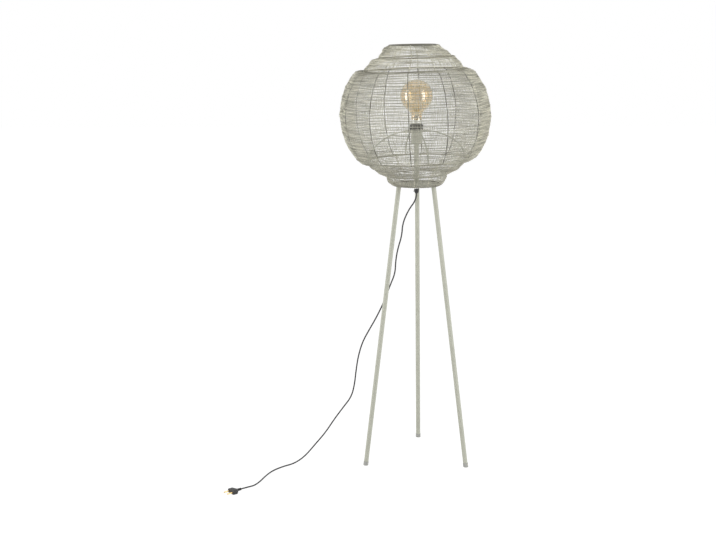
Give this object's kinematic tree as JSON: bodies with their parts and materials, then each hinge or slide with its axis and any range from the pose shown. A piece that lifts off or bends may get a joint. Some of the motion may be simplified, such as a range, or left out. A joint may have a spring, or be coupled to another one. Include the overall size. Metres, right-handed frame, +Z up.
{
  "type": "tripod floor lamp",
  "caption": "Floor lamp on straight tube legs, with a lantern shade of wound wire tiers round a bare globe bulb and a cord with a flat plug.",
  "frame": {"origin": "on the floor, on the lamp's axis, in the middle of the three feet", "axes": "+Z up along the post, +Y towards the rear leg, +X to the right seen from the front"},
  "size_m": [0.8097, 0.6186, 1.3438],
  "materials": {
    "frame_paint": "matt",
    "shade_wire": "matt, dry-brushed",
    "foot_plastic": "matt",
    "steel": "zinc plated",
    "black_plastic": "satin",
    "brass": "drawn",
    "cord_pvc": "satin",
    "amber_glass": "tinted, polished",
    "clear_glass": "clear",
    "bulb_metal": "nickel plated",
    "cap_insulator": "vitrified",
    "filament": "coated"
  },
  "bodies": {
    "base": {"leg_rear": "frame_paint", "leg_front_left": "frame_paint", "leg_front_right": "frame_paint", "base_plate": "frame_paint", "post_tube": "frame_paint", "socket_cup": "frame_paint", "foot_cap_rear": "foot_plastic", "foot_cap_front_left": "foot_plastic", "foot_cap_front_right": "foot_plastic", "leg_inserts": "steel", "leg_screws": "steel", "leg_washers": "steel", "threaded_rod": "steel", "plate_washer": "steel", "plate_nut": "steel", "gland_screw": "steel", "cup_nut": "steel", "cord_gland": "black_plastic", "lampholder_base": "black_plastic", "lampholder_body": "black_plastic", "screw_shell": "brass", "centre_contact": "brass", "terminal_screws": "brass", "plug_pins": "brass", "cord": "cord_pvc", "inner_cord": "cord_pvc", "plug_body": "cord_pvc"},
    "shade": {"carrier_ring": "frame_paint", "carrier_arm_1": "frame_paint", "carrier_arm_2": "frame_paint", "carrier_arm_3": "frame_paint", "carrier_arm_4": "frame_paint", "bottom_ring": "shade_wire", "waist_ring": "shade_wire", "globe_bottom_ring": "shade_wire", "globe_top_ring": "shade_wire", "crown_ring": "shade_wire", "top_ring": "shade_wire", "crown_ribs": "shade_wire", "shoulder_ribs": "shade_wire", "globe_ribs": "shade_wire", "waist_ribs": "shade_wire", "collar_ribs": "shade_wire", "crown_winding": "shade_wire", "shoulder_winding": "shade_wire", "globe_winding": "shade_wire", "waist_winding": "shade_wire", "collar_winding": "shade_wire"},
    "clamp_ring": {"clamp_ring": "black_plastic"},
    "lock_ring": {"lock_ring": "black_plastic"},
    "bulb_tip": {"bulb_tip": "bulb_metal"},
    "bulb": {"bulb_glass": "amber_glass", "bulb_collar": "bulb_metal", "bulb_cap": "bulb_metal", "bulb_insulator": "cap_insulator", "bulb_stem": "clear_glass", "bulb_filaments": "filament"}
  },
  "joints": [
    {"name": "shade_turn", "type": "hinge", "parent": "base", "child": "shade", "pos_m": [0, 0, 1.075], "axis": [0, 0, 1], "continuous": true},
    {"name": "clamp_ring_turn", "type": "hinge", "parent": "base", "child": "clamp_ring", "pos_m": [0, 0, 1.08], "axis": [0, 0, 1], "range_deg": [0, 1080]},
    {"name": "lock_ring_turn", "type": "hinge", "parent": "base", "child": "lock_ring", "pos_m": [0, 0, 1.09], "axis": [0, 0, 1], "range_deg": [0, 1080]},
    {"name": "bulb_rise", "type": "slide", "parent": "base", "child": "bulb_tip", "axis": [0, 0, 1], "range_m": [0, 0.0146]},
    {"name": "bulb_turn", "type": "hinge", "parent": "bulb_tip", "child": "bulb", "pos_m": [0, 0, 1.07], "axis": [0, 0, 1], "range_deg": [0, 1440]}
  ],
  "couplings": [
    {"joint": "bulb_rise", "follows": "bulb_turn", "m_per_rad": 0.0005776}
  ]
}
